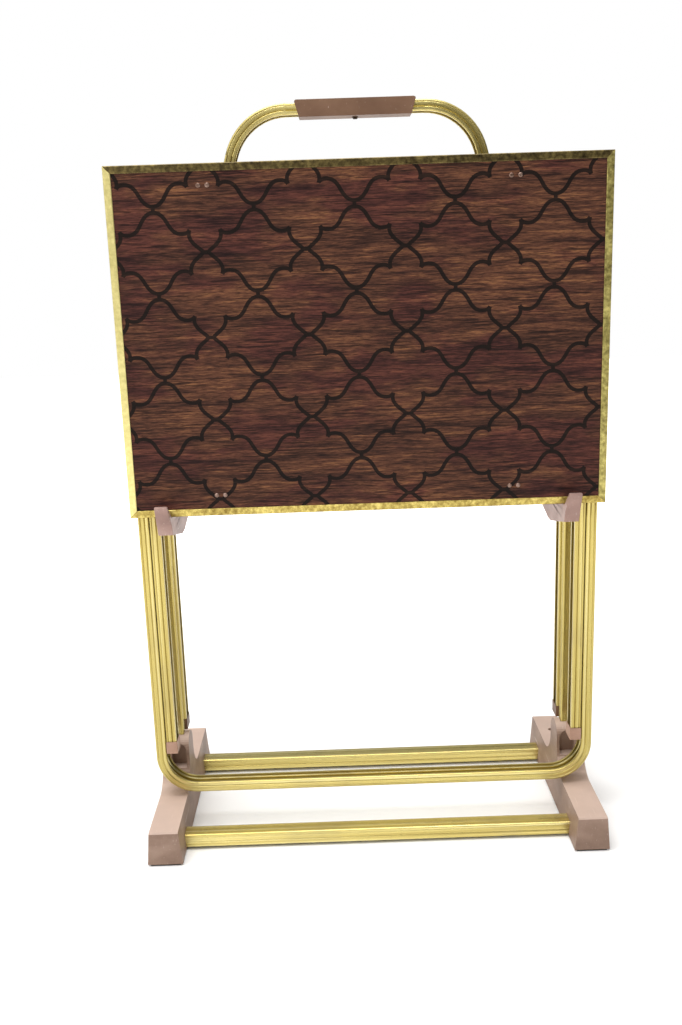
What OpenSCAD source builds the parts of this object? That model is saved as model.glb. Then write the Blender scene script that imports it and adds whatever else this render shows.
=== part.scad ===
// Folding tray table hung on its own storage stand.
// Millimetres. The stand rests on z = 0, the tray faces -Y, and all of it is symmetric about x = 0.

/* [Tray] */
// Width of the tray over its metal trim
tray_w = 558.8; // [540:0.1:560]
// Height of the hung tray over its metal trim
tray_h = 394; // [380:1:394]
// Height of the tray's lower edge above the floor
tray_z = 416; // [416:1:418]
// Depth of the metal trim from front to back
trim_d = 16; // [16:0.5:16.5]
// Width of the trim's front lip
trim_lip = 8.5; // [6:0.5:10]
// Width of the trim's rear lip
trim_back_lip = 5; // [4:0.5:5]
// Thickness of the trim's metal
trim_t = 1.2; // [0.8:0.1:1.4]
// Thickness of the fibre board
board_t = 10; // [6:0.5:10]
// Thickness of the decorative laminate
laminate_t = 0.8; // [0.5:0.1:1]

/* [Channel] */
// Width of the rolled channel in the plane of its frame
chan_w = 13; // [12:0.1:13]
// Depth of the rolled channel from front to back
chan_d = 22; // [20:0.5:22]
// Thickness of the rolled metal
chan_t = 1.4; // [1:0.1:1.5]
// Depth of the groove rolled into each flange
groove_d = 0.9; // [0.5:0.1:1]

/* [Leg frames] */
// Half width over the outer leg frame
outer_half = 275; // [274:0.5:275]
// Gap between the outer and the inner leg frame
frame_gap = 0.6; // [0.5:0.1:0.8]
// Height of the outer frame's lower bar above the floor
outer_low = 50.5; // [50:0.5:52]
// Height of the inner frame's capped ends above the floor
inner_low = 105; // [104:1:108]
// Outer radius of the leg frames' corners
leg_bend = 50; // [45:1:52]
// Distance of the leg frames' middle plane in front of the posts
leg_y = -48; // [-48.5:0.5:-48]
// Height of the upper clips' rivets above the floor
upper_rivet_z = 787; // [785:1:788]
// Height of the lower clips' rivets above the floor
lower_rivet_z = 440; // [438:1:442]
// Half distance between the clips
clip_x = 171.5; // [165:0.5:175]

/* [Stand] */
// Length of each foot from front to back
foot_l = 290; // [280:1:300]
// Height of a foot at its ends
foot_h = 44.3; // [42:0.1:45]
// Half distance between the feet's middle lines
foot_x = 257.5; // [257:0.1:258]
// Width of a foot at its base
foot_base_w = 42.4; // [41:0.1:43]
// Width of a foot at its top
foot_top_w = 35; // [34:0.1:36]
// Height of the boss in the middle of a foot
boss_h = 107; // [106:0.5:107]
// Half width of the boss from front to back
boss_r = 19; // [18:0.5:19]
// Height of a crossbar's section
bar_h = 16.5; // [15:0.5:17]
// Middle line of each crossbar in front of or behind the posts
bar_y = 99; // [95:1:102]
// Height of the posts' upper ends
post_top = 446; // [442:1:450]

/* [Handle] */
// Overall height over the handle's top bar
handle_top = 880.5; // [870:0.5:890]
// Lean of the handle's sides from the vertical
handle_lean = 16; // [15:0.5:17]
// Outer radius of the handle's corners
handle_bend = 75; // [65:1:80]
// Half width over the straight part of the handle's sides, where the corners begin
handle_half = 152.4; // [145:0.1:160]
// Length of the grip along its top
grip_l = 140; // [130:1:150]

/* [Hidden] */
$fn = 48;
fit = 0.3;                                  // gap between pieces that pass each other
hole_r = 3;                                 // radius of rivets and bolts
run_fit = 0.05;                             // radial clearance of a turning rivet
inner_half = outer_half - chan_w - frame_gap;
tray_back = leg_y - sqrt(pow(chan_w, 2) + pow(chan_d, 2)) / 2 - 1.2;
tray_front = tray_back - trim_d;
board_front = tray_front + trim_t + laminate_t;
rivet_rise = 15;                            // from a clip's round way up to its rivets
rivet_r = 2;
hinge_z = upper_rivet_z - rivet_rise;
lower_clip_z = lower_rivet_z - rivet_rise;
arm = (hinge_z - outer_low - chan_w / 2) / 2;   // hinge to pivot, and pivot to lower bar
pivot_z = hinge_z - arm;
foot_reach = pivot_z - inner_low;           // pivot to each frame's capped ends
outer_top = pivot_z + foot_reach;
pad_t = 2;
bar_z = 3.5;                                // underside of the crossbars
bar_reach = 7;                              // length of a crossbar past the foot's middle line
joint_lap = 1;                              // length by which a straight run enters a bend
bend_swell = 0.05;                          // a bend's wall is this much thicker on each side
post_w = chan_d;                            // the posts stand with their web to the front
post_d = chan_w;
post_x = 247.3;                             // inner side of a post
post_y = -post_d / 2;
post_foot_z = 62;
leg_x = 257.3;                              // outer side of the handle frame's straight legs
handle_y = post_d / 2 + 0.5 + chan_d / 2;
handle_end = 108;                           // lower end of the handle frame's legs
hook_in = 229.5;
hook_out = 247;
hook_floor = tray_z - 0.4;
lift_slope = 42;                            // slope of a hook lip's inner face from the vertical
clip_r = sqrt(pow(chan_w, 2) + pow(chan_d, 2)) / 2 + 0.6;
clip_wall = 3.6;
clip_w = 26;
bolt_z = 404;
post_screw_z = 85;
post_screw_x = foot_x - 3;

brass = "#c9ae4e";
trim_colour = "#8f8238";
rose = "#8c6a60";
brown = "#7d5245";
wood = "#5a3324";
steel = "#9a9a95";

// Points of a quarter-turn corner of radius r around [cx, cy], from angle a0
function corner(cx, cy, r, a0, a1, n = 4) =
  [for (i = [0 : n]) let (a = a0 + (a1 - a0) * i / n) [cx + r * cos(a), cy + r * sin(a)]];

// Half outline of the rolled channel, web at x = 0, open side at x = -w and two grooves in the flange
function channel_half(w, d, t, hem) =
  let (h = d / 2, g = -0.62 * w, v = 0.9, f = -0.23 * w, u = 0.6, fine_d = 0.6 * groove_d, r = 2, e = 1.4)
  concat(
    corner(-r, h - r, r, 0, 90),
    [[f + u, h], [f, h - fine_d], [f - u, h]],
    [[g + v, h], [g, h - groove_d], [g - v, h]],
    corner(-w + e, h - e, e, 90, 180),
    [[-w, h - hem], [-w + t, h - hem], [-w + t, h - t], [g - v - 0.2, h - t]],
    [[g, h - groove_d - t], [g + v + 0.2, h - t]],
    [[f - u - 0.2, h - t], [f, h - fine_d - t], [-t, h - fine_d - t]]
  );

module channel_outline(w = chan_w, swell = 0) {
  wide = w + 2 * swell;
  half = channel_half(wide, chan_d + 2 * swell, chan_t + 2 * swell, 4 + 2 * swell);
  n = len(half);
  translate([swell, 0])
    polygon(concat(half, [for (i = [n - 1 : -1 : 0]) [half[i][0], -half[i][1]]]));
}

// Straight channel along +Z for each [length, angle, outer radius] step, then a bend towards -X
module channel_run(steps, i = 0) {
  run = steps[i][0];
  angle = steps[i][1];
  r = steps[i][2];
  start = i == 0 ? 0 : -joint_lap;
  translate([0, 0, start]) linear_extrude(run + joint_lap - start) channel_outline();
  translate([0, 0, run]) {
    translate([-r, 0, 0]) rotate([90, 0, 0])
      rotate_extrude(angle = angle) translate([r, 0]) channel_outline(swell = bend_swell);
    if (i + 1 < len(steps))
      translate([-r * (1 - cos(angle)), 0, r * sin(angle)])
        rotate([0, -angle, 0]) channel_run(steps, i + 1);
  }
}

// Straight channel along X at height z with its web on top, entering the bend at each end
module cross_run(half, y, z) {
  reach = half + joint_lap;
  translate([reach, y, z]) rotate([0, -90, 0]) linear_extrude(2 * reach) channel_outline();
}

module both_sides() {
  children();
  mirror([1, 0, 0]) children();
}

// Side of each piece that comes in a left and a right version
module on_side(side) {
  if (side > 0) children();
  else mirror([1, 0, 0]) children();
}

module rod_x(x0, x1, y, z, r) {
  translate([x0, y, z]) rotate([0, 90, 0]) cylinder(r = r, h = x1 - x0);
}

// ---------- stand ----------

// Side view of a foot: level ends that sweep up into a domed boss
module foot_side() {
  sweep_r = 36;
  base = pad_t;
  sweep_y = boss_r + sweep_r;
  dome_z = boss_h - boss_r;
  right = concat(
    [[0, base], [foot_l / 2 - 1, base], [foot_l / 2, foot_h - 1.5], [foot_l / 2 - 1.5, foot_h]],
    corner(sweep_y, foot_h + sweep_r, sweep_r, 270, 180, 10),
    corner(0, dome_z, boss_r, 0, 90, 10)
  );
  n = len(right);
  polygon(concat(right, [for (i = [n - 2 : -1 : 1]) [-right[i][0], right[i][1]]]));
}

// Front view of a foot: sides that lean in up to the height of its ends
module foot_front() {
  b = foot_base_w / 2;
  t = foot_top_w / 2;
  polygon([[-b, pad_t], [b, pad_t], [t, foot_h], [t, boss_h + 1], [-t, boss_h + 1], [-t, foot_h]]);
}

module foot(side) {
  socket = 0.2;
  recess_x = 243.5;
  recess_w = 19;
  color(rose) on_side(side) difference() {
    intersection() {
      translate([foot_x + foot_base_w, 0, 0]) rotate([90, 0, -90]) mirror([1, 0, 0])
        linear_extrude(2 * foot_base_w) foot_side();
      translate([foot_x, foot_l, 0]) rotate([90, 0, 0]) linear_extrude(2 * foot_l) foot_front();
    }
    // socket for the post
    translate([post_x - socket, post_y - socket, post_foot_z])
      cube([post_w + 2 * socket, post_d + 2 * socket, boss_h]);
    // arched recess in the front of the boss
    translate([recess_x, -boss_r - 30, 66]) cube([recess_w, 41, 22]);
    translate([recess_x + recess_w / 2, -boss_r + 11, 88]) rotate([90, 0, 0])
      cylinder(r = recess_w / 2, h = 41);
    // pockets for the crossbars
    for (y = [-bar_y, bar_y])
      translate([foot_x - foot_base_w / 2 - 1, y - chan_d / 2 - socket, bar_z - socket])
        cube([foot_base_w / 2 + 1 + bar_reach + socket, chan_d + 2 * socket, bar_h + 2 * socket]);
    // screw holes above the rear crossbar and below the front one
    translate([foot_x, bar_y, 18]) cylinder(r = 2, h = 40);
    translate([foot_x, bar_y, foot_h - 6]) cylinder(r = 4, h = 10);
    translate([foot_x, -bar_y, pad_t - 1]) cylinder(r = 2, h = 24);
    // screw hole through the rear of the boss into the post
    translate([post_screw_x, 0, post_screw_z]) rotate([-90, 0, 0]) cylinder(r = 2, h = 40);
  }
}

module foot_pads() {
  color("#26211f") both_sides() for (y = [-1, 1])
    translate([foot_x, y * (foot_l / 2 - 29), 0]) linear_extrude(pad_t) square([36, 54], center = true);
}

// Deeper channel with its web on top, its ends held in the feet's pockets
module crossbar(y) {
  reach = foot_x + bar_reach;
  color(brass) difference() {
    translate([-reach, y, bar_z + bar_h]) rotate([0, 90, 0])
      linear_extrude(2 * reach) mirror([1, 0]) channel_outline(bar_h);
    both_sides() translate([foot_x, y, 0]) cylinder(r = 2, h = 40);
  }
}

module crossbar_screws() {
  color(steel) both_sides() {
    translate([foot_x, bar_y, 14]) cylinder(r = 2, h = foot_h - 6 - 14);
    translate([foot_x, bar_y, foot_h - 6]) cylinder(r1 = 3.8, r2 = 3.2, h = 2.2);
    translate([foot_x, -bar_y, pad_t]) cylinder(r = 2, h = 20);
  }
}

// Channel post with its web to the front
module post(side) {
  color(brass) on_side(side) difference() {
    translate([post_x + post_w / 2, post_y, post_foot_z]) rotate([0, 0, -90])
      linear_extrude(post_top - post_foot_z) channel_outline();
    rod_x(post_x - 1, post_x + 3, 0, bolt_z, hole_r);
    translate([post_screw_x, 0, post_screw_z]) rotate([-90, 0, 0]) cylinder(r = 2, h = 20);
  }
}

// Screws that hold the posts in the bosses, with a plate nut inside each channel
module post_screws() {
  color(steel) both_sides() {
    translate([post_screw_x, post_y + chan_t, post_screw_z]) rotate([-90, 0, 0])
      cylinder(r = 2, h = boss_r - post_y - chan_t);
    translate([post_screw_x, boss_r, post_screw_z]) rotate([-90, 0, 0]) cylinder(r1 = 4, r2 = 3, h = 2);
    translate([post_screw_x - 4, post_y + chan_t, post_screw_z - 5]) cube([8, 3, 10]);
  }
}

// Side view of a double hook: two upturned lips over a boat-shaped body
module hook_side() {
  seat = -tray_front + 1.3;
  lip_h = 17;
  top = hook_floor + lip_h;
  lip_y = seat + lip_h * tan(lift_slope);
  nose = 5;
  half = [
    [8, hook_floor - 37], [seat + 5, hook_floor - 20], [lip_y + nose, top - 1.5],
    [lip_y + nose - 1, top], [lip_y, top], [seat, hook_floor]
  ];
  n = len(half);
  polygon(concat(
    half,
    [[handle_y + chan_d / 2 + fit, hook_floor], [handle_y + chan_d / 2 + fit, hook_floor + 8]],
    [[post_y - fit, hook_floor + 8], [post_y - fit, hook_floor]],
    [for (i = [n - 1 : -1 : 0]) [-half[i][0], half[i][1]]]
  ));
}

module hook(side) {
  reach = 130;
  lip_lean = 7;
  handle_in = leg_x - chan_w - fit;
  color(rose) on_side(side) difference() {
    translate([hook_in, 0, 0]) rotate([90, 0, 90]) linear_extrude(hook_out - hook_in) hook_side();
    // room for the handle frame's leg
    translate([handle_in, post_y + post_d, 300]) cube([30, chan_d + 0.5 + fit, 200]);
    // bolt holes
    for (y = [0, handle_y]) rod_x(hook_in - 1, hook_out + 1, y, bolt_z, hole_r);
    // the lips lean outwards on their inner side
    translate([hook_in, -reach, hook_floor - 6]) rotate([0, lip_lean, 0])
      translate([-20, 0, 0]) cube([20, 2 * reach, 60]);
  }
}

module hook_bolts() {
  color(steel) both_sides() {
    rod_x(hook_in, post_x + chan_t + 4, 0, bolt_z, hole_r);
    rod_x(hook_in - 2.4, hook_in, 0, bolt_z, 5.2);
    rod_x(hook_in, leg_x + 4.4, handle_y, bolt_z, hole_r);
    rod_x(hook_in - 2.4, hook_in, handle_y, bolt_z, 5.2);
  }
}

module nut(x, y, r) {
  translate([x, y, bolt_z]) rotate([0, 90, 0]) difference() {
    cylinder(r = r, h = 3.6, $fn = 6);
    translate([0, 0, -1]) cylinder(r = hole_r, h = 6);
  }
}

module hook_nuts() {
  color(steel) both_sides() {
    nut(post_x + chan_t + groove_d + 0.1, 0, 5);
    nut(leg_x, handle_y, 6);
  }
}

// ---------- handle ----------

function handle_steps() =
  let (
    r1 = 80,
    z2 = handle_top - handle_bend * (1 - sin(handle_lean)),
    x1 = leg_x - r1 * (1 - cos(handle_lean)),
    slant = (x1 - handle_half) / sin(handle_lean),
    z1 = z2 - r1 * sin(handle_lean) - slant * cos(handle_lean)
  )
  [
    [z1 - handle_end, handle_lean, r1],
    [slant, 90 - handle_lean, handle_bend]
  ];

module handle_frame() {
  color(brass) difference() {
    union() {
      both_sides() translate([leg_x, handle_y, handle_end]) channel_run(handle_steps());
      cross_run(handle_half - handle_bend * cos(handle_lean), handle_y, handle_top);
    }
    both_sides() rod_x(leg_x - 3, leg_x + 1, handle_y, bolt_z, hole_r);
  }
}

module handle_end_caps() {
  wide = 0.5;
  color(brown) both_sides() difference() {
    translate([leg_x - chan_w - wide, handle_y - chan_d / 2 - 0.2, handle_end - 1.4])
      cube([chan_w + 2 * wide, chan_d + 0.8, 15]);
    translate([leg_x - chan_w, handle_y - chan_d / 2, handle_end]) cube([chan_w, chan_d, 20]);
  }
}

module handle_grip() {
  wrap = 3;
  top = handle_top + wrap;
  low = handle_top - chan_w - wrap;
  half = grip_l / 2;
  color(brown) difference() {
    translate([0, handle_y + chan_d / 2 + wrap, 0]) rotate([90, 0, 0])
      linear_extrude(chan_d + 2 * wrap)
        polygon(concat(
          [[-half + 5, low], [half - 5, low]],
          corner(half - 2.5, top - 2.5, 2.5, 10, 90, 3),
          corner(-half + 2.5, top - 2.5, 2.5, 90, 170, 3)
        ));
    translate([-half - 5, handle_y - chan_d / 2, handle_top - chan_w]) cube([grip_l + 10, chan_d, chan_w]);
    translate([0, handle_y, low - 5]) cylinder(r = 2, h = 12);
  }
}

module grip_screw() {
  low = handle_top - chan_w - 3;
  color("#3a2a26") {
    translate([0, handle_y, low]) cylinder(r = 2, h = 3 + 6);
    translate([0, handle_y, low - 2.6]) cylinder(r1 = 2.4, r2 = 4, h = 2.6);
  }
}

// ---------- tray ----------

module tray_board() {
  edge = trim_t + 0.1;
  color(wood) difference() {
    translate([-tray_w / 2 + edge, board_front, tray_z + edge])
      cube([tray_w - 2 * edge, board_t, tray_h - 2 * edge]);
    rivet_rods(rivet_r, board_front - 1, board_front + board_t + 1);
  }
}

module tray_laminate() {
  edge = trim_t + 0.1;
  color(wood) difference() {
    translate([-tray_w / 2 + edge, board_front - laminate_t, tray_z + edge])
      cube([tray_w - 2 * edge, laminate_t, tray_h - 2 * edge]);
    rivet_rods(rivet_r, board_front - 2, board_front + 1);
  }
}

// C section of the trim: outer edge along y = 0, front lip at x = 0, both lips towards +Y
module trim_outline() {
  polygon([
    [0, 0.8], [0.8, 0], [trim_d - 0.8, 0], [trim_d, 0.8], [trim_d, trim_back_lip],
    [trim_d - trim_t, trim_back_lip], [trim_d - trim_t, trim_t], [trim_t, trim_t],
    [trim_t, trim_lip], [0.5, trim_lip], [0, trim_lip - 0.8]
  ]);
}

// One rail of the trim along X, its outer edge at z = 0 and its ends mitred
module trim_rail(length) {
  difference() {
    translate([-length / 2, tray_front, 0]) rotate([90, 0, 90]) linear_extrude(length) trim_outline();
    for (s = [0, 1]) mirror([s, 0, 0])
      translate([length / 2, 0, 0]) rotate([0, -45, 0]) translate([0, -200, -100]) cube([100, 400, 200]);
  }
}

module trim(side) {
  cz = tray_z + tray_h / 2;
  color(trim_colour)
    if (side == "bottom") translate([0, 0, tray_z]) trim_rail(tray_w);
    else if (side == "top") translate([0, 0, tray_z + tray_h]) mirror([0, 0, 1]) trim_rail(tray_w);
    else if (side == "left") translate([-tray_w / 2, 0, cz]) rotate([0, 90, 0]) trim_rail(tray_h);
    else translate([tray_w / 2, 0, cz]) rotate([0, -90, 0]) trim_rail(tray_h);
}

// Saddle behind the board: a round way for a frame's bar, open downwards on the lower clips
module clip(side, z, open) {
  back = board_front + board_t;
  rear = leg_y + clip_r + 3;
  low = open ? z - (tray_z + trim_back_lip + fit) : clip_r + clip_wall;
  color(brown) on_side(side) difference() {
    translate([clip_x - clip_w / 2, back, z - low])
      cube([clip_w, rear - back, low + clip_r + clip_wall]);
    rod_x(clip_x - clip_w, clip_x + clip_w, leg_y, z, clip_r);
    if (open) translate([clip_x - clip_w, leg_y - clip_r, z - 40]) cube([2 * clip_w, 2 * clip_r, 40]);
    for (dx = [-5, 5]) translate([clip_x + dx, back - 1, z + rivet_rise]) rotate([-90, 0, 0])
      cylinder(r = rivet_r, h = 8);
  }
}

// Rods through the board at each clip's two rivets
module rivet_rods(r, y0, y1) {
  both_sides() for (z = [hinge_z, lower_clip_z]) for (dx = [-5, 5])
    translate([clip_x + dx, y0, z + rivet_rise]) rotate([-90, 0, 0]) cylinder(r = r, h = y1 - y0);
}

module clip_rivets() {
  face = board_front - laminate_t;
  color(steel) {
    rivet_rods(rivet_r, face, board_front + board_t + 6);
    both_sides() for (z = [hinge_z, lower_clip_z]) for (dx = [-5, 5])
      translate([clip_x + dx, face, z + rivet_rise]) rotate([90, 0, 0]) cylinder(r1 = 2.6, r2 = 1.6, h = 0.7);
  }
}

// ---------- leg frames ----------

module inner_leg_frame() {
  run = hinge_z + chan_w / 2 - leg_bend - inner_low - 1.4;
  color(brass) difference() {
    union() {
      both_sides() translate([inner_half, leg_y, inner_low + 1.4]) channel_run([[run, 90, leg_bend]]);
      cross_run(inner_half - leg_bend, leg_y, hinge_z + chan_w / 2);
    }
    both_sides() rod_x(inner_half - 4, inner_half + 1, leg_y, pivot_z, hole_r);
  }
}

module outer_leg_frame() {
  run = outer_top - 1.4 - outer_low - leg_bend;
  color(brass) difference() {
    union() {
      both_sides() translate([outer_half, leg_y, outer_top - 1.4]) mirror([0, 0, 1])
        channel_run([[run, 90, leg_bend]]);
      mirror([0, 0, 1]) cross_run(outer_half - leg_bend, leg_y, -outer_low);
    }
    both_sides() rod_x(outer_half - 4, outer_half + 1, leg_y, pivot_z, hole_r + run_fit);
  }
}

// Plastic shoe on a channel's end: outer side flush with the channel, other sides proud of it
module shoe(x_out, z, up, inside) {
  wide = 1;
  long = 16;
  x0 = x_out - chan_w - (inside ? wide : 0);
  difference() {
    translate([x0, leg_y - chan_d / 2 - wide, up > 0 ? z : z - long])
      cube([chan_w + wide, chan_d + 2 * wide, long]);
    translate([x_out - chan_w, leg_y - chan_d / 2, up > 0 ? z + 1.4 : z - long - 1])
      cube([chan_w, chan_d, long - 0.4]);
  }
}

module inner_leg_tips() {
  color(rose) both_sides() shoe(inner_half, inner_low, 1, true);
}

module outer_leg_tips() {
  color(rose) both_sides() shoe(outer_half, outer_top, -1, false);
}

module scissor_rivets() {
  color(steel) both_sides() {
    rod_x(inner_half - chan_t, outer_half + fit, leg_y, pivot_z, hole_r);
    rod_x(outer_half + fit, outer_half + fit + 1.8, leg_y, pivot_z, 5.5);
    rod_x(inner_half - chan_t - 1.6, inner_half - chan_t, leg_y, pivot_z, 5);
  }
}

module scissor_spacers() {
  color(brown) both_sides() difference() {
    rod_x(inner_half, outer_half - chan_t - fit, leg_y, pivot_z, 5.5);
    rod_x(inner_half - 1, outer_half, leg_y, pivot_z, hole_r);
  }
}

foot(-1);  // left_foot
foot(1);  // right_foot
foot_pads();
crossbar(-bar_y);  // front_crossbar
crossbar(bar_y);  // rear_crossbar
crossbar_screws();
post(-1);  // left_post
post(1);  // right_post
post_screws();
hook(-1);  // left_hook
hook(1);  // right_hook
hook_bolts();
hook_nuts();
handle_frame();
handle_end_caps();
handle_grip();
grip_screw();
tray_board();
tray_laminate();
trim("top");  // trim_top
trim("bottom");  // trim_bottom
trim("left");  // trim_left
trim("right");  // trim_right
clip(-1, hinge_z, false);  // upper_left_clip
clip(1, hinge_z, false);  // upper_right_clip
clip(-1, lower_clip_z, true);  // lower_left_clip
clip(1, lower_clip_z, true);  // lower_right_clip
clip_rivets();
inner_leg_frame();
inner_leg_tips();
scissor_rivets();
scissor_spacers();
outer_leg_frame();
outer_leg_tips();
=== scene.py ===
import math

import bmesh
import bpy
from mathutils import Matrix, Vector


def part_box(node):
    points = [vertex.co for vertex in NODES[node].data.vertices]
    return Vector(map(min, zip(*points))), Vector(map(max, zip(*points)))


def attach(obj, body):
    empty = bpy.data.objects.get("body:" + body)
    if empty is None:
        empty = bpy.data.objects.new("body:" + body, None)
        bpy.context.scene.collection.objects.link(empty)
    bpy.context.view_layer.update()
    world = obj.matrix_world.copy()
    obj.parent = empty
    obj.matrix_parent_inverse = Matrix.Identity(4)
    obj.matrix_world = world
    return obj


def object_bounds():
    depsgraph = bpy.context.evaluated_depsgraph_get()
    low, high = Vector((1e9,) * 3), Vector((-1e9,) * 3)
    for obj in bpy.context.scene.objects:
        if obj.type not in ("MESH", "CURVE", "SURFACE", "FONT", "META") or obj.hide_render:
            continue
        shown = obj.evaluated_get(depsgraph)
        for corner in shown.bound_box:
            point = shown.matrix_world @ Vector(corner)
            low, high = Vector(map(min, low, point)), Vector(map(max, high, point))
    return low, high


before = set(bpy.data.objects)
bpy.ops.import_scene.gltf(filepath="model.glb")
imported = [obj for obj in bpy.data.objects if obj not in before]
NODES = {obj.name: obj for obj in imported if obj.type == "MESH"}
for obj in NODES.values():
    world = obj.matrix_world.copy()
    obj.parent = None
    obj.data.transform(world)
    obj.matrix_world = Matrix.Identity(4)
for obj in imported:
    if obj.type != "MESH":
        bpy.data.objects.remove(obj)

# Folding tray table hung on its storage stand. Metres, in the frame's own axes: +Z up, the tray faces -Y.

CAD_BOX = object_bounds()
MM = 0.001

# ---------- camera ----------

CAMERA_PLACE = (-0.0363, -1.2579, 0.6971)
CAMERA_YAW = math.radians(0.21)           # towards +X
CAMERA_PITCH = math.radians(13.46)        # downwards
CAMERA_ROLL = math.radians(-1.90)
CAMERA_LENS = 36.27                       # mm on a 36 mm long side


def make_camera():
    look = Vector((
        math.sin(CAMERA_YAW) * math.cos(CAMERA_PITCH),
        math.cos(CAMERA_YAW) * math.cos(CAMERA_PITCH),
        -math.sin(CAMERA_PITCH),
    ))
    level_right = look.cross(Vector((0, 0, 1))).normalized()
    level_up = level_right.cross(look)
    right = level_right * math.cos(CAMERA_ROLL) + level_up * math.sin(CAMERA_ROLL)
    up = level_up * math.cos(CAMERA_ROLL) - level_right * math.sin(CAMERA_ROLL)
    data = bpy.data.cameras.new("camera")
    data.lens = CAMERA_LENS
    data.sensor_width = 36
    camera = bpy.data.objects.new("camera", data)
    turn = Matrix((right, up, -look)).transposed().to_4x4()
    camera.matrix_world = Matrix.Translation(CAMERA_PLACE) @ turn
    bpy.context.scene.collection.objects.link(camera)
    bpy.context.scene.camera = camera


# ---------- shader helpers ----------

def linear(red, green, blue):
    """Colour of an sRGB triple from 0 to 255, as a shader socket takes it."""
    def channel(value):
        v = value / 255
        return v / 12.92 if v <= 0.04045 else ((v + 0.055) / 1.055) ** 2.4
    return (channel(red), channel(green), channel(blue), 1)


def add_node(tree, kind, inputs=(), **settings):
    """A node with its settings, each input linked to a socket or set to a value."""
    node = tree.nodes.new(kind)
    for key, value in settings.items():
        setattr(node, key, value)
    for key, value in dict(inputs).items():
        if isinstance(value, bpy.types.NodeSocket):
            tree.links.new(value, node.inputs[key])
        else:
            node.inputs[key].default_value = value
    return node


class Paint:
    """One Principled material with the few node patterns that the finishes below are built from."""

    def __init__(self, name, roughness=0.5, metallic=0.0, specular=0.5):
        self.material = bpy.data.materials.new(name)
        self.material.use_nodes = True
        self.tree = self.material.node_tree
        self.shader = self.tree.nodes["Principled BSDF"]
        self.shader.inputs["Roughness"].default_value = roughness
        self.shader.inputs["Metallic"].default_value = metallic
        self.shader.inputs["Specular IOR Level"].default_value = specular
        axes = self.tree.nodes.new("ShaderNodeTexCoord").outputs
        self.place = axes["Object"]
        self.facing = axes["Normal"]
        self.bump = None

    def add(self, kind, inputs=(), **settings):
        return add_node(self.tree, kind, inputs, **settings)

    def math(self, operation, a, b=0.0):
        return self.add("ShaderNodeMath", {0: a, 1: b}, operation=operation).outputs[0]

    def noise(self, scale, seed, detail=4.0, rough=0.55, source=None):
        """Noise whose cells are 1 / scale metres along the three axes of source, or of the object."""
        shift = (seed * 3.7, seed * 1.3, seed * 2.1)
        mapping = {"Vector": source or self.place, "Scale": scale, "Location": shift}
        place = self.add("ShaderNodeMapping", mapping).outputs[0]
        inputs = {"Vector": place, "Scale": 1.0, "Detail": detail, "Roughness": rough}
        return self.add("ShaderNodeTexNoise", inputs).outputs["Fac"]

    def between(self, value, low, high):
        """0 below low, 1 above high, and smooth between them."""
        inputs = {"Value": value, "From Min": low, "From Max": high}
        return self.add("ShaderNodeMapRange", inputs, interpolation_type="SMOOTHSTEP").outputs[0]

    def ramp(self, value, stops):
        node = self.add("ShaderNodeValToRGB", {"Fac": value})
        marks = node.color_ramp.elements
        while len(marks) < len(stops):
            marks.new(0.5)
        for mark, (position, colour) in zip(marks, stops):
            mark.position = position
            mark.color = linear(*colour)
        return node.outputs["Color"]

    def blend(self, factor, a, b):
        inputs = {0: factor, 6: a, 7: b}  # the colour sockets of a Mix node
        return self.add("ShaderNodeMix", inputs, data_type="RGBA").outputs[2]

    def colour(self, value):
        self.tree.links.new(value, self.shader.inputs["Base Color"])

    def gloss(self, value, low, high):
        inputs = {"Value": value, "To Min": low, "To Max": high}
        rough = self.add("ShaderNodeMapRange", inputs).outputs[0]
        self.tree.links.new(rough, self.shader.inputs["Roughness"])

    def relief(self, value, depth):
        """Adds a bump of the given depth in metres on top of the bumps before it."""
        node = self.add("ShaderNodeBump", {"Height": value, "Distance": depth, "Strength": 1.0})
        if self.bump is not None:
            self.tree.links.new(self.bump, node.inputs["Normal"])
        self.bump = node.outputs[0]
        self.tree.links.new(self.bump, self.shader.inputs["Normal"])

    def axis(self, letter):
        return self.add("ShaderNodeSeparateXYZ", {0: self.place}).outputs[letter]


# ---------- finishes ----------

UPRIGHT_SHADE_FADE = 40 * MM                       # how far the painted shade on a rail's uprights takes to come in


def straight_rail(paint, across, along):
    """Places across and along a bar that runs along one axis, and 1 if it is upright."""
    return paint.axis(across), paint.axis(along), float(along == "Z")


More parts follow.
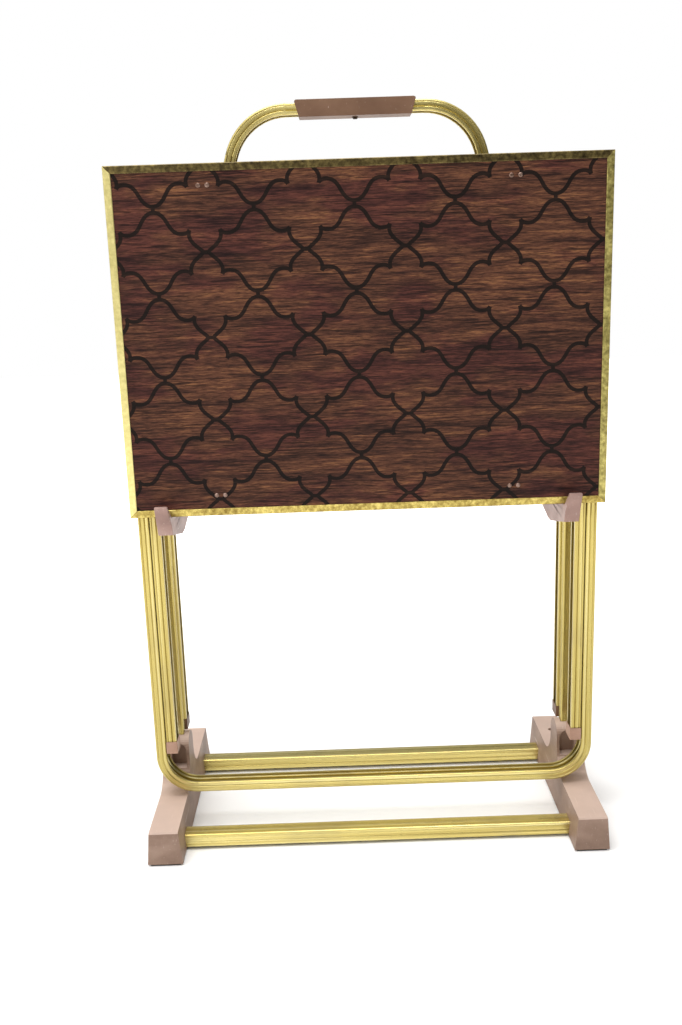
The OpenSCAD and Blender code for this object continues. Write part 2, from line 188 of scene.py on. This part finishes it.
def bent_rail(paint, bend_x, bend_z, up=1, lean=0.0, knee=0.0):
    """The same three for a frame of two sides and one bar, measured round its bends.

    The bend's centre is at |x| = bend_x, and the bar is above it, or below it where up is -1.
    The sides are upright up to z = knee, and lean inwards by lean radians from there.
    """
    outwards = paint.math("ABSOLUTE", paint.axis("X"))
    beside = paint.math("SUBTRACT", outwards, bend_x)
    over = paint.math("MULTIPLY", paint.math("SUBTRACT", paint.axis("Z"), bend_z), up)
    risen = paint.math("MAXIMUM", paint.math("SUBTRACT", paint.axis("Z"), knee), 0.0)
    shift = max(bend_z - knee, 0.0) * math.tan(lean)
    straightened = paint.math("ADD", beside, paint.math("MULTIPLY", risen, math.tan(lean)))
    off_side = paint.math("MULTIPLY", paint.math("SUBTRACT", straightened, shift), math.cos(lean))
    inwards = paint.math("MULTIPLY", beside, math.sin(lean))
    past_side = paint.math("SUBTRACT", paint.math("MULTIPLY", over, math.cos(lean)), inwards)
    past_side = paint.math("MAXIMUM", past_side, 0.0)
    square_a = paint.math("MULTIPLY", off_side, off_side)
    square_b = paint.math("MULTIPLY", past_side, past_side)
    around = paint.math("SQRT", paint.math("ADD", square_a, square_b))
    on_bar = paint.math("LESS_THAN", beside, 0.0)
    off_bar = paint.math("SUBTRACT", 1.0, on_bar)
    across_bar = paint.math("MULTIPLY", on_bar, over)
    across_side = paint.math("MULTIPLY", off_bar, around)
    across = paint.math("ADD", across_bar, across_side)
    return across, paint.math("ADD", outwards, over), paint.between(beside, 0.0, UPRIGHT_SHADE_FADE)


def brass(name, seed, rail, *shape):
    """Rolled gold-coloured metal, brushed lengthwise along the rail, with painted highlight streaks along
    it and painted shade on its upright parts.
    """
    paint = Paint(name, roughness=0.3, metallic=0.8)
    across, along, upright = rail(paint, *shape)
    unrolled = {"X": across, "Y": paint.axis("Y"), "Z": along}
    source = paint.add("ShaderNodeCombineXYZ", unrolled).outputs[0]

    def along_rail(fine, coarse, offset, detail):
        return paint.noise((fine, fine, coarse), seed + offset, detail, source=source)

    lines = along_rail(1300, 4, 0, 4)
    # The lengthwise bands are partly brushed grain and partly painted highlight streaks, which stand in for
    # reflections and rise to a near-white gold.
    bands = along_rail(260, 1.6, 2, 2)
    clouds = paint.noise((14, 14, 14), seed + 4, 3)
    tone = paint.ramp(bands, [
        (0.3, (182, 162, 92)), (0.44, (210, 192, 116)), (0.58, (230, 214, 142)), (0.72, (244, 234, 176)),
    ])
    scratched = paint.math("MULTIPLY", paint.between(lines, 0.54, 0.72), 0.4)
    tone = paint.blend(scratched, tone, linear(158, 138, 76))
    dull = paint.math("MULTIPLY", paint.between(clouds, 0.5, 0.72), 0.45)
    tone = paint.blend(dull, tone, linear(186, 170, 116))
    # Painted shade: a rail's upright parts are painted darker than its bars, standing in for the light that
    # falls on them.
    painted_upright_shade = paint.math("MULTIPLY", upright, 0.45)
    tone = paint.blend(painted_upright_shade, tone, linear(150, 132, 66))
    paint.colour(tone)
    level = paint.math("ADD", paint.math("MULTIPLY", lines, 0.5), paint.math("MULTIPLY", clouds, 0.5))
    paint.gloss(level, 0.14, 0.44)
    paint.relief(lines, 0.000012)
    return paint.material


def antique_trim(name, dark, pale, seed):
    """Embossed edge trim with a dark patina that has worn away in patches; its dark and pale also carry
    painted light and shade, set for each rail.
    """
    paint = Paint(name, roughness=0.34, metallic=0.8)
    patina = paint.noise((190, 190, 190), seed, 5, 0.65)
    wear = paint.noise((26, 26, 26), seed + 1, 3)
    level = paint.math("ADD", paint.math("MULTIPLY", patina, 0.7), paint.math("MULTIPLY", wear, 0.3))
    middle = tuple((a + b) / 2 for a, b in zip(dark, pale))
    paint.colour(paint.ramp(level, [(0.36, dark), (0.5, middle), (0.64, pale)]))
    paint.gloss(patina, 0.22, 0.5)
    paint.relief(patina, 0.00025)
    return paint.material


def moulded(name, base, pale, deep, seed, top=0.0):
    """Moulded plastic, clouded and scuffed, with a faint grain; top is how strongly upward faces are
    painted paler, a painted light from above.
    """
    paint = Paint(name, specular=0.25)
    clouds = paint.noise((22, 22, 30), seed, 4)
    tone = paint.ramp(clouds, [(0.22, deep), (0.5, base), (0.78, pale)])
    smears = paint.noise((60, 12, 60), seed + 1, 5, 0.6)
    smear = paint.math("MULTIPLY", paint.between(smears, 0.56, 0.76), 0.2)
    tone = paint.blend(smear, tone, linear(*pale))
    specks = paint.between(paint.noise((520, 520, 520), seed + 2, 2), 0.7, 0.78)
    tone = paint.blend(paint.math("MULTIPLY", specks, 0.5), tone, linear(*deep))
    scratches = paint.between(paint.noise((700, 16, 220), seed + 3, 3), 0.66, 0.72)
    tone = paint.blend(paint.math("MULTIPLY", scratches, 0.35), tone, linear(226, 210, 200))
    # Painted light: upward faces are painted paler, standing in for the light that falls on them from
    # above.
    if top:
        upward = paint.add("ShaderNodeSeparateXYZ", {0: paint.facing}).outputs["Z"]
        painted_top_light = paint.math("MULTIPLY", paint.between(upward, 0.2, 0.85), top)
        tone = paint.blend(painted_top_light, tone, linear(226, 202, 188))
    paint.colour(tone)
    paint.gloss(smears, 0.34, 0.6)
    paint.relief(paint.noise((1400, 1400, 1400), seed + 4, 2), 0.00004)
    paint.relief(clouds, 0.0002)
    paint.relief(scratches, 0.00003)
    return paint.material


def wood_grain(paint, shades):
    """Level of the streaks, the same for both prints on the laminate, and its colours from shades."""
    bands = paint.noise((6, 6, 90), 2, 4, 0.6)
    streaks = paint.noise((45, 45, 520), 3, 5, 0.7)
    level = paint.math("ADD", paint.math("MULTIPLY", bands, 0.4), paint.math("MULTIPLY", streaks, 0.6))
    return level, paint.ramp(level, shades)


def wood_laminate():
    """Printed red-brown grain that runs along the tray, with a few pale scuffs."""
    paint = Paint("wood_laminate", specular=0.1)
    level, brown = wood_grain(
        paint, [(0.36, (30, 18, 15)), (0.45, (64, 40, 31)), (0.54, (92, 58, 42)), (0.66, (136, 92, 60))]
    )
    red = paint.ramp(
        level, [(0.36, (28, 15, 15)), (0.45, (56, 31, 28)), (0.54, (80, 45, 38)), (0.66, (112, 66, 50))]
    )
    patches = paint.noise((10, 10, 26), 1, 3)
    tone = paint.blend(paint.between(patches, 0.42, 0.58), brown, red)
    fibres = paint.between(paint.noise((110, 110, 1300), 4, 3, 0.6), 0.5, 0.64)
    tone = paint.blend(paint.math("MULTIPLY", fibres, 0.6), tone, linear(26, 15, 13))
    grain_lines = paint.between(paint.noise((24, 24, 520), 5, 3), 0.57, 0.63)
    tone = paint.blend(paint.math("MULTIPLY", grain_lines, 0.7), tone, linear(24, 14, 13))
    worn = paint.between(paint.noise((55, 55, 210), 6, 5, 0.7), 0.73, 0.8)
    tone = paint.blend(paint.math("MULTIPLY", worn, 0.4), tone, linear(176, 158, 148))
    paint.colour(tone)
    paint.gloss(level, 0.42, 0.66)
    paint.relief(level, 0.00005)
    return paint.material


def lattice_ink():
    """Near-black print, a little paler where the grain shows through."""
    paint = Paint("lattice_ink", specular=0.1)
    level, tone = wood_grain(paint, [(0.38, (17, 11, 8)), (0.52, (25, 16, 12)), (0.66, (42, 28, 21))])
    paint.colour(tone)
    paint.gloss(level, 0.42, 0.62)
    paint.relief(level, 0.00004)
    return paint.material


def fibre_board():
    """Pressed fibre board with short pressed strands."""
    paint = Paint("fibre_board", specular=0.25)
    strands = paint.noise((240, 240, 420), 11, 5, 0.7)
    clouds = paint.noise((12, 12, 12), 12, 3)
    level = paint.math("ADD", paint.math("MULTIPLY", strands, 0.7), paint.math("MULTIPLY", clouds, 0.3))
    paint.colour(paint.ramp(level, [(0.36, (82, 58, 42)), (0.5, (112, 82, 58)), (0.64, (138, 106, 78))]))
    paint.gloss(strands, 0.62, 0.85)
    paint.relief(strands, 0.00012)
    return paint.material


def plated_steel(name, base, pale, seed):
    """Dull plated steel with a fine turned grain."""
    paint = Paint(name, metallic=0.9)
    grain = paint.noise((800, 800, 800), seed, 4)
    stain = paint.noise((120, 120, 120), seed + 1, 3)
    paint.colour(paint.ramp(stain, [(0.35, base), (0.65, pale)]))
    paint.gloss(grain, 0.28, 0.52)
    paint.relief(grain, 0.00003)
    return paint.material


def rubber_pad():
    paint = Paint("dark_pad", specular=0.3)
    grain = paint.noise((600, 600, 600), 21, 4)
    paint.colour(paint.ramp(grain, [(0.35, (26, 23, 21)), (0.65, (48, 43, 40))]))
    paint.gloss(grain, 0.6, 0.85)
    paint.relief(grain, 0.0001)
    return paint.material


def studio_floor():
    """Pale floor that glows white away from the object, a painted light, so that it melts into the white
    surroundings.
    """
    paint = Paint("studio_floor", roughness=0.7, specular=0.1)
    tone = paint.noise((3, 3, 3), 31, 3)
    paint.colour(paint.ramp(tone, [(0.3, (250, 250, 250)), (0.7, (255, 255, 255))]))
    # Painted light: emission that grows with distance from the floor's centre, so the far floor glows
    # white.
    distance = paint.add("ShaderNodeVectorMath", {0: paint.place}, operation="LENGTH").outputs["Value"]
    paint.shader.inputs["Emission Color"].default_value = (1, 1, 1, 1)
    paint.tree.links.new(paint.between(distance, 0.5, 1.8), paint.shader.inputs["Emission Strength"])
    return paint.material


# ---------- CAD nodes: finish and softened edges ----------

WELD_DISTANCE = 0.002 * MM                # joins the CAD mesh's doubled points before its edges are rounded
EDGE_ANGLE = math.radians(38)             # edges sharper than this are rounded
HANDLE_LEAN = math.radians(16)
HANDLE_BEND = 75 * MM                     # outer radius of the handle's upper bends
HANDLE_HALF = 152.4 * MM                  # |x| at which the leaning sides enter them
LEG_BEND = 50 * MM                        # outer radius of the leg frames' bends


def handle_bend():
    """The shape that bent_rail takes, for the handle frame."""
    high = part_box("handle_frame")[1]
    side_top = high.z - HANDLE_BEND * (1 - math.sin(HANDLE_LEAN))
    knee = side_top - (high.x - HANDLE_HALF) / math.tan(HANDLE_LEAN)
    return HANDLE_HALF - HANDLE_BEND * math.cos(HANDLE_LEAN), high.z - HANDLE_BEND, 1, HANDLE_LEAN, knee


def dress(name, material, edge=0.0):
    """Gives a CAD node its finish, and rounds its sharp edges by edge metres."""
    node = NODES[name]
    for slot in node.material_slots:
        slot.material = material
    if edge:
        weld = node.modifiers.new("join", "WELD")
        weld.merge_threshold = WELD_DISTANCE
        bevel = node.modifiers.new("edge", "BEVEL")
        bevel.width = edge
        bevel.segments = 2
        bevel.limit_method = "ANGLE"
        bevel.angle_limit = EDGE_ANGLE
        bevel.harden_normals = True


def side_names(*patterns):
    return [p.format(side) for p in patterns for side in ("left", "right")]


def dress_stand():
    rose = moulded("rose_plastic", (142, 116, 100), (166, 140, 124), (120, 96, 82), 40, top=0.5)
    hooks = moulded("hook_plastic", (154, 124, 114), (180, 150, 140), (128, 102, 94), 50)
    brown = moulded("brown_plastic", (114, 85, 66), (126, 96, 76), (102, 75, 58), 60)
    steel = plated_steel("steel_fastener", (150, 146, 138), (196, 192, 184), 70)
    for name in side_names("{}_foot"):
        dress(name, rose, 1.2 * MM)
    for name in side_names("{}_hook"):
        dress(name, hooks, 0.9 * MM)
    for name in side_names("{}_post"):
        dress(name, brass("brass_" + name, 80, straight_rail, "X", "Z"), 0.25 * MM)
    for name in ("front_crossbar", "rear_crossbar"):
        dress(name, brass("brass_" + name, 90, straight_rail, "Z", "X"), 0.25 * MM)
    dress("handle_frame", brass("brass_handle", 100, bent_rail, *handle_bend()), 0.2 * MM)
    dress("handle_end_caps", brown, 0.3 * MM)
    dress("handle_grip", brown, 0.8 * MM)
    dress("grip_screw", plated_steel("dark_screw", (44, 34, 30), (78, 62, 54), 110))
    dress("foot_pads", rubber_pad(), 0.4 * MM)
    for name in ("crossbar_screws", "post_screws", "hook_bolts", "hook_nuts"):
        dress(name, steel, 0.25 * MM)


def dress_tray():
    brown = moulded("clip_plastic", (126, 88, 72), (150, 112, 94), (96, 66, 54), 120)
    dress("tray_board", fibre_board())
    dress("tray_laminate", wood_laminate())
    # Patina tones with painted light in each rail's dark and pale: the left rail painted brightly lit, the
    # top rail painted in shade, the right and bottom rails between.
    trim_tones_with_painted_light = {
        "trim_top": ((52, 42, 22), (128, 112, 66)),
        "trim_bottom": ((120, 98, 40), (226, 206, 120)),
        "trim_left": ((206, 192, 122), (236, 222, 152)),
        "trim_right": ((104, 94, 48), (206, 192, 116)),
    }
    for index, (name, (dark, pale)) in enumerate(trim_tones_with_painted_light.items()):
        dress(name, antique_trim("antique_" + name, dark, pale, 130 + 3 * index), 0.3 * MM)
    for name in side_names("upper_{}_clip", "lower_{}_clip"):
        dress(name, brown, 0.5 * MM)
    rivet = plated_steel("rivet_steel", (104, 80, 68), (150, 126, 114), 150)
    dress("clip_rivets", rivet, 0.2 * MM)


def dress_legs():
    shoe = moulded("shoe_plastic", (176, 140, 120), (206, 176, 156), (146, 112, 94), 160)
    brown = moulded("spacer_plastic", (120, 86, 70), (146, 110, 92), (92, 64, 52), 170)
    steel = plated_steel("pivot_steel", (150, 146, 138), (196, 192, 184), 180)
    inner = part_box("inner_leg_frame")[1]
    low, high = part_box("outer_leg_frame")
    inner_bend = (inner.x - LEG_BEND, inner.z - LEG_BEND)
    outer_bend = (high.x - LEG_BEND, low.z + LEG_BEND, -1)
    dress("inner_leg_frame", brass("brass_inner_legs", 190, bent_rail, *inner_bend), 0.2 * MM)
    dress("outer_leg_frame", brass("brass_outer_legs", 200, bent_rail, *outer_bend), 0.2 * MM)
    for name in ("inner_leg_tips", "outer_leg_tips"):
        dress(name, shoe, 0.6 * MM)
    dress("scissor_rivets", steel, 0.3 * MM)
    dress("scissor_spacers", brown, 0.3 * MM)


# ---------- printed lattice ----------

PERIOD_X = 110.6 * MM
PERIOD_Z = 93.5 * MM
LATTICE_START = (-6.0 * MM, 149.8 * MM)   # a place where two arches touch, from the tray's centre
LINE_W = 4.3 * MM
PRINT_T = 0.06 * MM
PRINT_EDGE = 5.0 * MM                     # the print ends this far in, under the trim's lip
LAYER_STEP = 0.002 * MM                   # strokes that cross lie at different depths


def bezier(start, pull_start, pull_end, end, steps=7):
    """Points along a cubic curve between start and end."""
    curve = []
    for i in range(steps + 1):
        t = i / steps
        weights = ((1 - t) ** 3, 3 * t * (1 - t) ** 2, 3 * t * t * (1 - t), t ** 3)
        points = (start, pull_start, pull_end, end)
        curve.append(tuple(sum(w * p[k] for w, p in zip(weights, points)) for k in (0, 1)))
    return curve


def quarter_lines():
    """One quarter of the pattern in mm, across and down from a touching point at the origin.

    An arch, the leaf that goes on from it to a crossing, and short bars that join the mirrored quarters.
    """
    arch = bezier((0, 3.2), (7.5, 3.2), (11.5, 9.0), (15.5, 16.4))
    arch += bezier((15.5, 16.4), (18.5, 22.0), (22.5, 26.8), (30.0, 26.8))[1:]
    arch += bezier((30.0, 26.8), (34.5, 26.8), (37.0, 25.6), (38.6, 22.6), 4)[1:]
    leaf = bezier((38.6, 22.6), (37.2, 26.0), (37.2, 30.0), (39.0, 33.0), 4)
    leaf += bezier((39.0, 33.0), (42.0, 39.0), (49.0, 42.5), (52.6, 46.75))[1:]
    return [arch, leaf, [(0, -0.2), (0, 3.4)], [(52.4, 46.75), (55.5, 46.75)]]


def stroke(mesh, points, depth):
    """Flat ribbon LINE_W wide along points in X and Z, at y = depth."""
    edges = []
    for i, point in enumerate(points):
        before = points[max(i - 1, 0)]
        after = points[min(i + 1, len(points) - 1)]
        along = (after - before).normalized()
        across = Vector((-along.y, along.x)) * LINE_W / 2
        edges.append([mesh.verts.new((p.x, depth, p.y)) for p in (point + across, point - across)])
    for (a, b), (c, d) in zip(edges, edges[1:]):
        mesh.faces.new((a, b, d, c))


def make_lattice():
    """The whole print: four mirrored quarters at each touching point, cut off along the tray's edges."""
    low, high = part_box("tray_laminate")
    centre = Vector(((low.x + high.x) / 2, (low.z + high.z) / 2))
    start = centre + Vector(LATTICE_START)
    mesh = bmesh.new()
    columns = range(-3, 4)
    rows = range(-1, 6)
    for column in columns:
        for row in rows:
            home = start + Vector((column * PERIOD_X, -row * PERIOD_Z))
            for across in (1, -1):
                for down in (1, -1):
                    for layer, line in enumerate(quarter_lines()):
                        order = layer * 4 + (across + 1) + (down + 1) // 2
                        depth = low.y - PRINT_T - order * LAYER_STEP
                        points = [home + Vector((across * x, -down * z)) * MM for x, z in line]
                        stroke(mesh, points, depth)
    walls = [
        ((low.x + PRINT_EDGE, 0, 0), (-1, 0, 0)), ((high.x - PRINT_EDGE, 0, 0), (1, 0, 0)),
        ((0, 0, low.z + PRINT_EDGE), (0, 0, -1)), ((0, 0, high.z - PRINT_EDGE), (0, 0, 1)),
    ]
    for place, outward in walls:
        geometry = mesh.verts[:] + mesh.edges[:] + mesh.faces[:]
        bmesh.ops.bisect_plane(mesh, geom=geometry, plane_co=place, plane_no=outward, clear_outer=True)
    bmesh.ops.recalc_face_normals(mesh, faces=mesh.faces)
    for face in mesh.faces:
        if face.normal.y > 0:
            face.normal_flip()
    data = bpy.data.meshes.new("printed_lattice")
    mesh.to_mesh(data)
    mesh.free()
    lattice = bpy.data.objects.new("printed_lattice", data)
    bpy.context.scene.collection.objects.link(lattice)
    solid = lattice.modifiers.new("print", "SOLIDIFY")
    solid.thickness = PRINT_T
    solid.offset = -1
    data.materials.append(lattice_ink())
    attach(lattice, "tray")


# ---------- studio ----------

SURROUND = 0.06          # light that comes from all around
LEFT_WALL = 0.40         # what each direction adds to it
RIGHT_WALL = 0.06
CEILING = 1.0
FLOOR_HALF = 6.0         # m, half the side of the floor
FLOOR_GAP = 0.3 * MM


def make_floor():
    half = FLOOR_HALF
    data = bpy.data.meshes.new("studio_floor")
    data.from_pydata(
        [(-half, -half, 0), (half, -half, 0), (half, half, 0), (-half, half, 0)], [], [(0, 1, 2, 3)]
    )
    floor = bpy.data.objects.new("studio_floor", data)
    floor.location.z = -FLOOR_GAP
    data.materials.append(studio_floor())
    bpy.context.scene.collection.objects.link(floor)


def make_light(name, place, aim, size, power):
    data = bpy.data.lights.new(name, "AREA")
    data.shape = "RECTANGLE"
    data.size, data.size_y = size
    data.energy = power
    light = bpy.data.objects.new(name, data)
    light.location = place
    light.rotation_mode = "QUATERNION"
    light.rotation_quaternion = (Vector(aim) - Vector(place)).to_track_quat("-Z", "Y")
    bpy.context.scene.collection.objects.link(light)


def make_world():
    """White to the camera. As light, bright from above and the left, and dim elsewhere."""
    world = bpy.data.worlds.new("studio")
    bpy.context.scene.world = world
    world.use_nodes = True
    tree = world.node_tree
    tree.nodes.clear()

    def add(kind, inputs=(), **settings):
        return add_node(tree, kind, inputs, **settings)

    direction = add("ShaderNodeTexCoord").outputs["Generated"]
    axes = add("ShaderNodeSeparateXYZ", {0: direction})

    def wall(towards, low, high, gain):
        ramp = {"Value": towards, "From Min": low, "From Max": high, "To Max": gain}
        return add("ShaderNodeMapRange", ramp, interpolation_type="SMOOTHSTEP").outputs[0]

    def total(a, b):
        return add("ShaderNodeMath", {0: a, 1: b}).outputs[0]

    rightwards = axes.outputs["X"]
    leftwards = add("ShaderNodeMath", {0: rightwards, 1: -1.0}, operation="MULTIPLY").outputs[0]
    sides = total(wall(leftwards, 0.15, 0.75, LEFT_WALL), wall(rightwards, 0.15, 0.75, RIGHT_WALL))
    strength = total(total(sides, wall(axes.outputs["Z"], 0.3, 0.9, CEILING)), SURROUND)
    soft = add("ShaderNodeBackground", {"Color": (1.0, 0.99, 0.97, 1), "Strength": strength})
    white = add("ShaderNodeBackground", {"Color": (1, 1, 1, 1), "Strength": 1.0})
    rays = add("ShaderNodeLightPath")
    choice = {0: rays.outputs["Is Camera Ray"], 1: soft.outputs[0], 2: white.outputs[0]}
    mixed = add("ShaderNodeMixShader", choice)
    add("ShaderNodeOutputWorld", {"Surface": mixed.outputs[0]})


def make_studio():
    make_world()
    make_floor()
    low, high = CAD_BOX
    middle = (low + high) / 2
    make_light("key_left", (-2.0, -0.9, 1.9), middle, (1.2, 1.2), 14)
    make_light("front_soft", (-0.6, -2.2, 1.6), middle, (1.2, 1.2), 6)
    make_light("top_soft", (-0.3, -0.1, 2.6), middle, (1.8, 1.8), 54)
    bpy.context.scene.view_settings.view_transform = "Standard"


make_camera()
dress_stand()
dress_tray()
dress_legs()
make_lattice()
make_studio()
